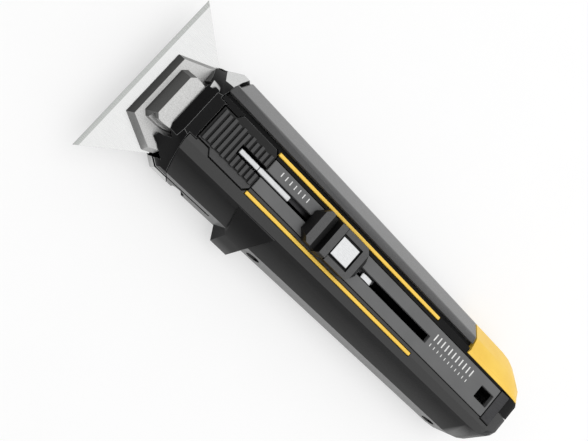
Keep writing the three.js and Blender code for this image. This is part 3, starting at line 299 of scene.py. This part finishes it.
def handle_black(name):
    """Fine-grained black shell with painted light: paler down the belly face, a painted highlight on its
    shoulder and a painted reflection on its wall.
    """
    finish = Finish(name, specular=0.1)
    belly = finish.product(
        finish.past(finish.place, "Z", BELLY_DARK_Z, BELLY_PALE_Z),
        finish.past(finish.facing, "Z", *BELLY_FACE_UP),
        finish.past(finish.facing, "Y", *BELLY_FACE_OUT))
    shoulder = finish.past(finish.facing, "Z", *SHOULDER_UP)
    wall = finish.past(finish.facing, "Y", *WALL_OUT)
    tone = finish.drifting(SHELL_BLACK)
    # Painted light: paler lower belly face, highlight on upward faces, reflection on the wall
    for share, pale in ((belly, BELLY_PAINTED_LIGHT), (shoulder, SHOULDER_PAINTED_HIGHLIGHT), (wall, WALL_PAINTED_REFLECTION)):
        tone = finish.mixed(share, tone, pale)
    return finish.completed(tone, finish.noise(FINE_GRAIN, 2), rough=(0.28, 0.42), height=0.05 * MM)


def ribbed_pad(name):
    """Black pad, darkest between its ribs, with a painted highlight that makes the ribs and its belly border
    paler.
    """
    finish = Finish(name, specular=0.25)
    grain = finish.noise(FINE_GRAIN, 2)
    # Painted highlight on the rib tops and the belly border
    pale = finish.largest(
        finish.past(finish.place, "Z", RIB_FOOT_Z, RIB_TOP_Z),
        finish.past(finish.place, "Y", PAD_BORDER_END_Y, PAD_BORDER_Y))
    tone = finish.mixed(pale, VALLEY_BLACK, finish.ramp(grain, PAD_PAINTED_HIGHLIGHT))
    return finish.completed(tone, grain, rough=(0.36, 0.5), height=0.04 * MM)


def thumb_slider(name):
    """Black slider with a painted highlight on its flat tops, dark in its valley and in the sunk border round
    the button.
    """
    finish = Finish(name, specular=0.2)
    grain = finish.noise(FINE_GRAIN, 2)
    # Painted highlight on the flat tops above the sunk border
    pale = finish.product(
        finish.past(finish.facing, "Z", *SLIDER_TOP_UP),
        finish.past(finish.place, "Z", SLIDER_MOAT_Z, SLIDER_PALE_Z))
    tone = finish.mixed(pale, PLAIN_BLACK, finish.ramp(grain, SLIDER_PAINTED_HIGHLIGHT))
    return finish.completed(tone, grain, rough=(0.36, 0.5), height=0.04 * MM)


def lit_edge(name, axis, start, end):
    """Black edge round with a painted highlight that turns it pale from the start to the end along an axis."""
    finish = Finish(name, specular=0.2)
    grain = finish.noise(FINE_GRAIN, 2)
    pale = finish.past(finish.place, axis, start, end)
    tone = finish.mixed(pale, PLAIN_BLACK, finish.ramp(grain, LIT_EDGE_GREY))
    return finish.completed(tone, grain, rough=(0.4, 0.54), height=0.02 * MM)


def trimmed_black(name):
    """Satin black collar whose side facets and front spine corner are silvered."""
    finish = Finish(name, specular=0.08)
    grain = finish.noise(SOFT_GRAIN, 3)
    spine_side = finish.product(
        finish.past(finish.facing, "Y", *SPINE_TRIM_OUT),
        finish.past(finish.place, "Y", TRIM_SPINE_Y, TRIM_SPINE_Y + TRIM_BLUR),
        finish.past(finish.place, "X", TRIM_FRONT_X, TRIM_FRONT_X + TRIM_BLUR))
    belly_side = finish.product(
        finish.past(finish.facing, "Y", *BELLY_TRIM_OUT),
        finish.past(finish.place, "Z", TRIM_BELLY_Z + TRIM_BLUR, TRIM_BELLY_Z))
    corner = finish.product(
        finish.past(finish.facing, "X", *CORNER_AHEAD),
        finish.past(finish.facing, "Y", *CORNER_OUT_LEAST),
        finish.past(finish.facing, "Y", *CORNER_OUT_MOST),
        finish.past(finish.place, "X", TRIM_CORNER_X, TRIM_CORNER_X + TRIM_BLUR))
    trim = finish.largest(spine_side, belly_side, corner)
    finish.link(trim, finish.shader.inputs["Metallic"])
    tone = finish.mixed(trim, finish.ramp(grain, DEEP_BLACK), finish.ramp(grain, TRIM_SILVER))
    return finish.completed(tone, grain, rough=(0.26, 0.36), height=0.02 * MM)


def cast_metal(name):
    """Grained silver casting: bright ground tops, and painted shade on the walls towards the cutting edge."""
    finish = Finish(name, metallic=1.0)
    grain = finish.noise(FINE_GRAIN, 4, roughness=0.7)
    # Painted shade on the walls towards the cutting edge
    wall = finish.past(finish.facing, "X", *CAST_WALL_AHEAD)
    tone = finish.mixed(wall, finish.ramp(grain, CAST_SILVER, start=0.35, end=0.65), CAST_WALL_PAINTED_SHADE)
    return finish.completed(tone, grain, rough=(0.34, 0.52), height=0.04 * MM)


def blade_steel(name):
    """Brushed blade steel with a darker ground band along the cutting edge."""
    finish = Finish(name, metallic=1.0)
    marks = finish.streaks(BLADE_BRUSHING)
    ground = finish.past(finish.place, "X", GRIND_END_X, GRIND_FULL_X)
    tone = finish.mixed(ground, finish.ramp(marks, BLADE_FLAT), finish.ramp(marks, BLADE_GROUND))
    return finish.completed(tone, marks, rough=(0.2, 0.32), height=0.004 * MM)


def jointed_bar(name):
    """Bright bar with a dark butt joint across it."""
    finish = Finish(name, metallic=1.0)
    marks = finish.streaks(TURNING_MARKS)
    joint = finish.product(
        finish.past(finish.place, "X", BAR_JOINT_X - BAR_JOINT_REACH, BAR_JOINT_X - BAR_JOINT_FULL),
        finish.past(finish.place, "X", BAR_JOINT_X + BAR_JOINT_REACH, BAR_JOINT_X + BAR_JOINT_FULL))
    tone = finish.mixed(joint, finish.ramp(marks, BAR_METAL), JOINT_BLACK)
    return finish.completed(tone, marks, rough=(0.22, 0.34), height=0.006 * MM)


def turned_metal(name, tones, rough):
    """Plain machined metal with fine lengthwise marks."""
    finish = Finish(name, metallic=1.0)
    marks = finish.streaks(TURNING_MARKS)
    return finish.completed(finish.ramp(marks, tones), marks, rough, height=0.006 * MM)


def printed_ink(name):
    """Pale printed ink with thin places."""
    finish = Finish(name)
    cover = finish.noise(INK_GRAIN, 3)
    tone = finish.ramp(cover, INK_WHITE, start=0.25, end=0.5)
    return finish.completed(tone, cover, rough=(0.45, 0.6), height=0.01 * MM)


FINISHES = {
    "shell": handle_black("black_shell"),
    "rail": moulded("deep_black", DEEP_BLACK, FINE_GRAIN, (0.44, 0.58), 0.05 * MM, specular=0.1),
    "grip": grip_rubber("grey_rubber"),
    "panel": moulded("panel_grey", PANEL_GREY, PANEL_GRAIN, (0.34, 0.48), 0.02 * MM, specular=0.25),
    "collar": trimmed_black("silver_sided_black"),
    "accent": moulded("warm_yellow", WARM_YELLOW, STRIP_GRAIN, (0.34, 0.48), 0.03 * MM),
    "pad": thumb_slider("thumb_slider"),
    "ribs": ribbed_pad("ribbed_pad"),
    # Edge finishes, each a painted highlight on rounded edges
    "collar_edge": moulded("painted_highlight_edge", COLLAR_EDGE_PAINTED_HIGHLIGHT, FINE_GRAIN, (0.29, 0.43), 0.02 * MM),
    "rail_edge": lit_edge("nose_lit_edge", "X", NOSE_EDGE_END_X, NOSE_EDGE_FULL_X),
    "pad_edge": lit_edge("spine_lit_edge", "Y", PAD_EDGE_Y, PAD_EDGE_FULL_Y),
    "bar": jointed_bar("jointed_bar"),
    "cast": cast_metal("grained_casting"),
    "steel": blade_steel("brushed_blade"),
    "bright": turned_metal("bright_metal", BRIGHT_METAL, (0.19, 0.34)),
    "dark": turned_metal("dark_metal", DARK_METAL, (0.35, 0.5)),
    "ink": printed_ink("pale_ink"),
}

BODY_OF = {
    node: body
    for body, nodes in frame["record"]["behaviour"]["bodies"].items()
    for node in nodes
}
SLOT_OF = {row["node"]: row["material_slot"] for row in frame["record"]["subparts"]}
FINISH_OF = {**SLOT_OF, "spine_shell": "rail", "release_pad": "ribs", "stop_bar": "bar"}
# Rounded edges that carry a painted highlight
EDGE_FINISH_OF = {"nose_collar": "collar_edge", "spine_shell": "rail_edge", "release_pad": "pad_edge"}

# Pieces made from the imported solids
WELD_DISTANCE = 0.002 * MM
FLAT_ANGLE_DEG = 0.6
ROUND_SEGMENTS = 3
ROUND_ANGLE_DEG = 28

EDGE_ROUND_MM = {
    "belly_shell": 0.7, "spine_shell": 0.35, "spine_grip": 0.7, "nose_collar": 0.5, "track_panel": 0.25,
    "accent_strip_belly": 0.25, "accent_strip_spine": 0.25, "stop_bar": 0.7, "lanyard_bar": 0.4,
    "door_pin": 0.15, "store_leaf": 0.08,
    "body_screw_front": 0.15, "body_screw_middle": 0.15, "body_screw_rear": 0.15,
    "slider_body": 0.35, "lock_button": 0.35, "sled": 0.3, "drive_rod": 0.2, "pivot_link": 0.3,
    "detent_tab": 0.2, "upper_jaw": 0.3, "lower_jaw": 0.3, "pivot_pin": 0.2, "jaw_magnet": 0.2,
    "jaw_stud_belly": 0.15, "jaw_stud_spine": 0.15, "blade": 0.03, "release_pad": 0.3, "storage_door": 0.6,
}

# Share of its height that each spring keeps when its button or pad is pressed
SPRING_KEEP = {"pad_spring_belly": 0.74, "pad_spring_spine": 0.74, "button_spring": 0.42}


def linked(name, data):
    made = bpy.data.objects.new(name, data)
    bpy.context.scene.collection.objects.link(made)
    return made


def joined_copy(node):
    """The solid's mesh with its triangles joined into whole faces, in the node's finish."""
    mesh = frame["nodes"][node].data.copy()
    work = bmesh.new()
    work.from_mesh(mesh)
    bmesh.ops.remove_doubles(work, verts=work.verts, dist=WELD_DISTANCE)
    bmesh.ops.dissolve_limit(
        work, angle_limit=math.radians(FLAT_ANGLE_DEG), verts=work.verts, edges=work.edges)
    bmesh.ops.recalc_face_normals(work, faces=work.faces)
    work.to_mesh(mesh)
    work.free()
    mesh.materials.clear()
    mesh.materials.append(FINISHES[FINISH_OF[node]])
    return mesh


def applied(piece):
    """Turns the piece's modifiers into its own mesh."""
    graph = bpy.context.evaluated_depsgraph_get()
    finished = bpy.data.meshes.new_from_object(piece.evaluated_get(graph))
    piece.modifiers.clear()
    piece.data = finished
    return piece


def rounded(piece, width, edge_finish):
    """Rounds the sharp edges, in the edge finish where there is one, which paints a highlight on the rounds.
    """
    bevel = piece.modifiers.new("edge_round", "BEVEL")
    if edge_finish:
        piece.data.materials.append(edge_finish)
        bevel.material = 1
    bevel.width = width
    bevel.segments = ROUND_SEGMENTS
    bevel.limit_method = "ANGLE"
    bevel.angle_limit = math.radians(ROUND_ANGLE_DEG)
    bevel.harden_normals = True
    bevel.miter_outer = "MITER_ARC"
    weighted = piece.modifiers.new("flat_normals", "WEIGHTED_NORMAL")
    weighted.keep_sharp = True
    for face in piece.data.polygons:
        face.use_smooth = True
    return applied(piece)


def attach(piece, node):
    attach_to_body(piece, BODY_OF[node])
    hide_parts(node)


def finished_solids():
    """Rounded copies of the solids; the spare blades stay as they are, in blade steel."""
    for node in BODY_OF:
        if node in SPRING_KEEP:
            continue
        if node in EDGE_ROUND_MM:
            piece = linked(f"{node}_finished", joined_copy(node))
            edge_finish = FINISHES.get(EDGE_FINISH_OF.get(node))
            attach(rounded(piece, EDGE_ROUND_MM[node] * MM, edge_finish), node)
        else:
            materials = frame["nodes"][node].data.materials
            materials.clear()
            materials.append(FINISHES[FINISH_OF[node]])


def springs():
    """Copies of the springs that the joints list as deforming, each on its body with a mesh of its own."""
    for joint in frame["record"]["behaviour"]["joints"]:
        for row in joint.get("deforming_nodes", ()):
            node = row["node"]
            piece = linked(f"{node}_wound", joined_copy(node))
            attach(piece, node)
            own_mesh(piece)


# Plain position ticks on the panel, repeated by Geometry Nodes
TICK_INPUTS = {
    "Count": "NodeSocketInt", "Start": "NodeSocketVector", "Step": "NodeSocketVector",
    "Width": "NodeSocketFloat", "Length": "NodeSocketFloat", "Corner": "NodeSocketFloat",
    "Rise": "NodeSocketFloat", "Ink": "NodeSocketMaterial",
}
TICK_CORNER = 0.1 * MM
TICK_CORNER_POINTS = 4
TICK_RISE = 0.03 * MM
TICK_WELD = 0.001 * MM

# Count, first X, pitch, width, length, offset from the handle's axis
TICK_ROWS_MM = {
    "front_ticks": (7, -38.0, 2.0, 0.35, 1.6, 3.9),
    "rear_long_ticks": (11, 41.6, 2.0, 0.5, 2.6, 2.6),
    "rear_short_ticks": (11, 41.6, 2.0, 0.3, 1.1, -0.6),
}


def tick_row_tree():
    """A row of closed round-cornered ticks, welded from a raised face and its turned copy."""
    tree = bpy.data.node_groups.new("tick_row", "GeometryNodeTree")
    for name, kind in TICK_INPUTS.items():
        tree.interface.new_socket(name, in_out="INPUT", socket_type=kind)
    tree.interface.new_socket("Geometry", in_out="OUTPUT", socket_type="NodeSocketGeometry")
    given = tree.nodes.new("NodeGroupInput").outputs

    def made(kind, sources, **settings):
        node = tree.nodes.new(f"GeometryNode{kind}")
        for key, value in settings.items():
            setattr(node, key, value)
        for name, source in sources.items():
            tree.links.new(source, node.inputs[name])
        return node

    places = made("MeshLine", {
        "Count": given["Count"], "Start Location": given["Start"], "Offset": given["Step"]}, mode="OFFSET")
    outline = made("CurvePrimitiveQuadrilateral", {"Width": given["Width"], "Height": given["Length"]})
    soft = made("FilletCurve", {
        "Curve": outline.outputs["Curve"], "Radius": given["Corner"]}, mode="POLY")
    soft.inputs["Count"].default_value = TICK_CORNER_POINTS
    face = made("FillCurve", {"Curve": soft.outputs["Curve"]}, mode="NGONS").outputs["Mesh"]
    raised = made("ExtrudeMesh", {"Mesh": face, "Offset Scale": given["Rise"]}).outputs["Mesh"]
    under = made("FlipFaces", {"Mesh": face}).outputs["Mesh"]
    both = made("JoinGeometry", {})
    for half in (raised, under):
        tree.links.new(half, both.inputs["Geometry"])
    closed = made("MergeByDistance", {"Geometry": both.outputs["Geometry"]})
    closed.inputs["Distance"].default_value = TICK_WELD
    ticks = made("InstanceOnPoints", {
        "Points": places.outputs["Mesh"], "Instance": closed.outputs["Geometry"]}).outputs["Instances"]
    real = made("RealizeInstances", {"Geometry": ticks}).outputs["Geometry"]
    inked = made("SetMaterial", {"Geometry": real, "Material": given["Ink"]}).outputs["Geometry"]
    tree.links.new(inked, tree.nodes.new("NodeGroupOutput").inputs["Geometry"])
    return tree


def tick_row(name, tree, values):
    piece = linked(name, bpy.data.meshes.new(name))
    modifier = piece.modifiers.new("ticks", "NODES")
    modifier.node_group = tree
    for socket in tree.interface.items_tree:
        if socket.name in values:
            modifier[socket.identifier] = values[socket.name]
    applied(piece)
    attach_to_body(piece, "handle")


def panel_ticks():
    tree = tick_row_tree()
    for name, (count, first, pitch, width, length, offset) in TICK_ROWS_MM.items():
        tick_row(name, tree, {
            "Count": count,
            "Start": (first * MM, AXIS_Y + offset * MM, PANEL_Z),
            "Step": (pitch * MM, 0, 0),
            "Width": width * MM,
            "Length": length * MM,
            "Corner": TICK_CORNER,
            "Rise": TICK_RISE,
            "Ink": FINISHES["ink"],
        })


# Stage, light and camera
def whitened(finish):
    """Lifts the floor towards white where the camera and the reflections see it; its shadow stays."""
    path = finish.node("ShaderNodeLightPath").outputs
    seen = finish.largest(path["Is Camera Ray"], path["Is Glossy Ray"], path["Is Transmission Ray"])
    blend = finish.node("ShaderNodeMixShader")
    finish.link(finish.span(seen, 0, FLOOR_GLOW, 0, 1), blend.inputs["Fac"])
    finish.link(finish.shader.outputs["BSDF"], blend.inputs[1])
    finish.link(finish.node("ShaderNodeEmission").outputs["Emission"], blend.inputs[2])
    finish.link(blend.outputs["Shader"], finish.tree.nodes["Material Output"].inputs["Surface"])


def floor():
    mesh = bpy.data.meshes.new("floor")
    corners = [(x * FLOOR_REACH, y * FLOOR_REACH, 0) for x, y in ((-1, -1), (1, -1), (1, 1), (-1, 1))]
    mesh.from_pydata(corners, [], [(0, 1, 2, 3)])
    finish = Finish("pale_floor", specular=0.2)
    finish.colour(finish.ramp(finish.noise(FLOOR_DRIFT, 2), FLOOR_WHITE))
    finish.shader.inputs["Roughness"].default_value = FLOOR_ROUGHNESS
    whitened(finish)
    mesh.materials.append(finish.material)
    plane = linked("floor", mesh)


def looking(place, aim):
    """A place from which -Z points at the aim."""
    turn = (aim - place).to_track_quat("-Z", "Y")
    return Matrix.Translation(place) @ turn.to_matrix().to_4x4()


def key_light():
    light = bpy.data.lights.new("key_softbox", "AREA")
    light.shape = "RECTANGLE"
    light.size = light.size_y = KEY_SIZE
    light.energy = KEY_POWER
    aim = Vector(KEY_AIM)
    place = aim + Vector(KEY_DIRECTION).normalized() * KEY_DISTANCE
    linked("key_softbox", light).matrix_world = looking(place, aim)


def sky():
    """Soft room light, bright overhead and dim at the horizon."""
    world = bpy.data.worlds.new("studio")
    bpy.context.scene.world = world
    world.use_nodes = True
    tree = world.node_tree
    background = tree.nodes["Background"]
    background.inputs["Color"].default_value = (1, 1, 1, 1)
    place = tree.nodes.new("ShaderNodeTexCoord")
    split = tree.nodes.new("ShaderNodeSeparateXYZ")
    ramp = tree.nodes.new("ShaderNodeMapRange")
    ramp.inputs["From Min"].default_value = HORIZON_HEIGHT
    ramp.inputs["From Max"].default_value = ZENITH_HEIGHT
    ramp.inputs["To Min"].default_value = HORIZON_LIGHT
    ramp.inputs["To Max"].default_value = ZENITH_LIGHT
    tree.links.new(place.outputs["Generated"], split.inputs["Vector"])
    tree.links.new(split.outputs["Z"], ramp.inputs["Value"])
    tree.links.new(ramp.outputs["Result"], background.inputs["Strength"])


def camera():
    data = bpy.data.cameras.new("photo_camera")
    data.sensor_fit = "HORIZONTAL"
    data.sensor_width = SENSOR_MM
    data.lens = FOCAL_PX / IMAGE_WIDTH_PX * SENSOR_MM
    data.clip_start = CAMERA_NEAR
    eye = linked("photo_camera", data)
    roll = Matrix.Rotation(math.radians(CAMERA_ROLL_DEG), 4, "Z")
    eye.matrix_world = looking(Vector(CAMERA_PLACE), Vector(CAMERA_AIM)) @ roll
    bpy.context.scene.camera = eye


bpy.context.scene.view_settings.view_transform = "Standard"
camera()
floor()
sky()
key_light()
finished_solids()
springs()
panel_ticks()
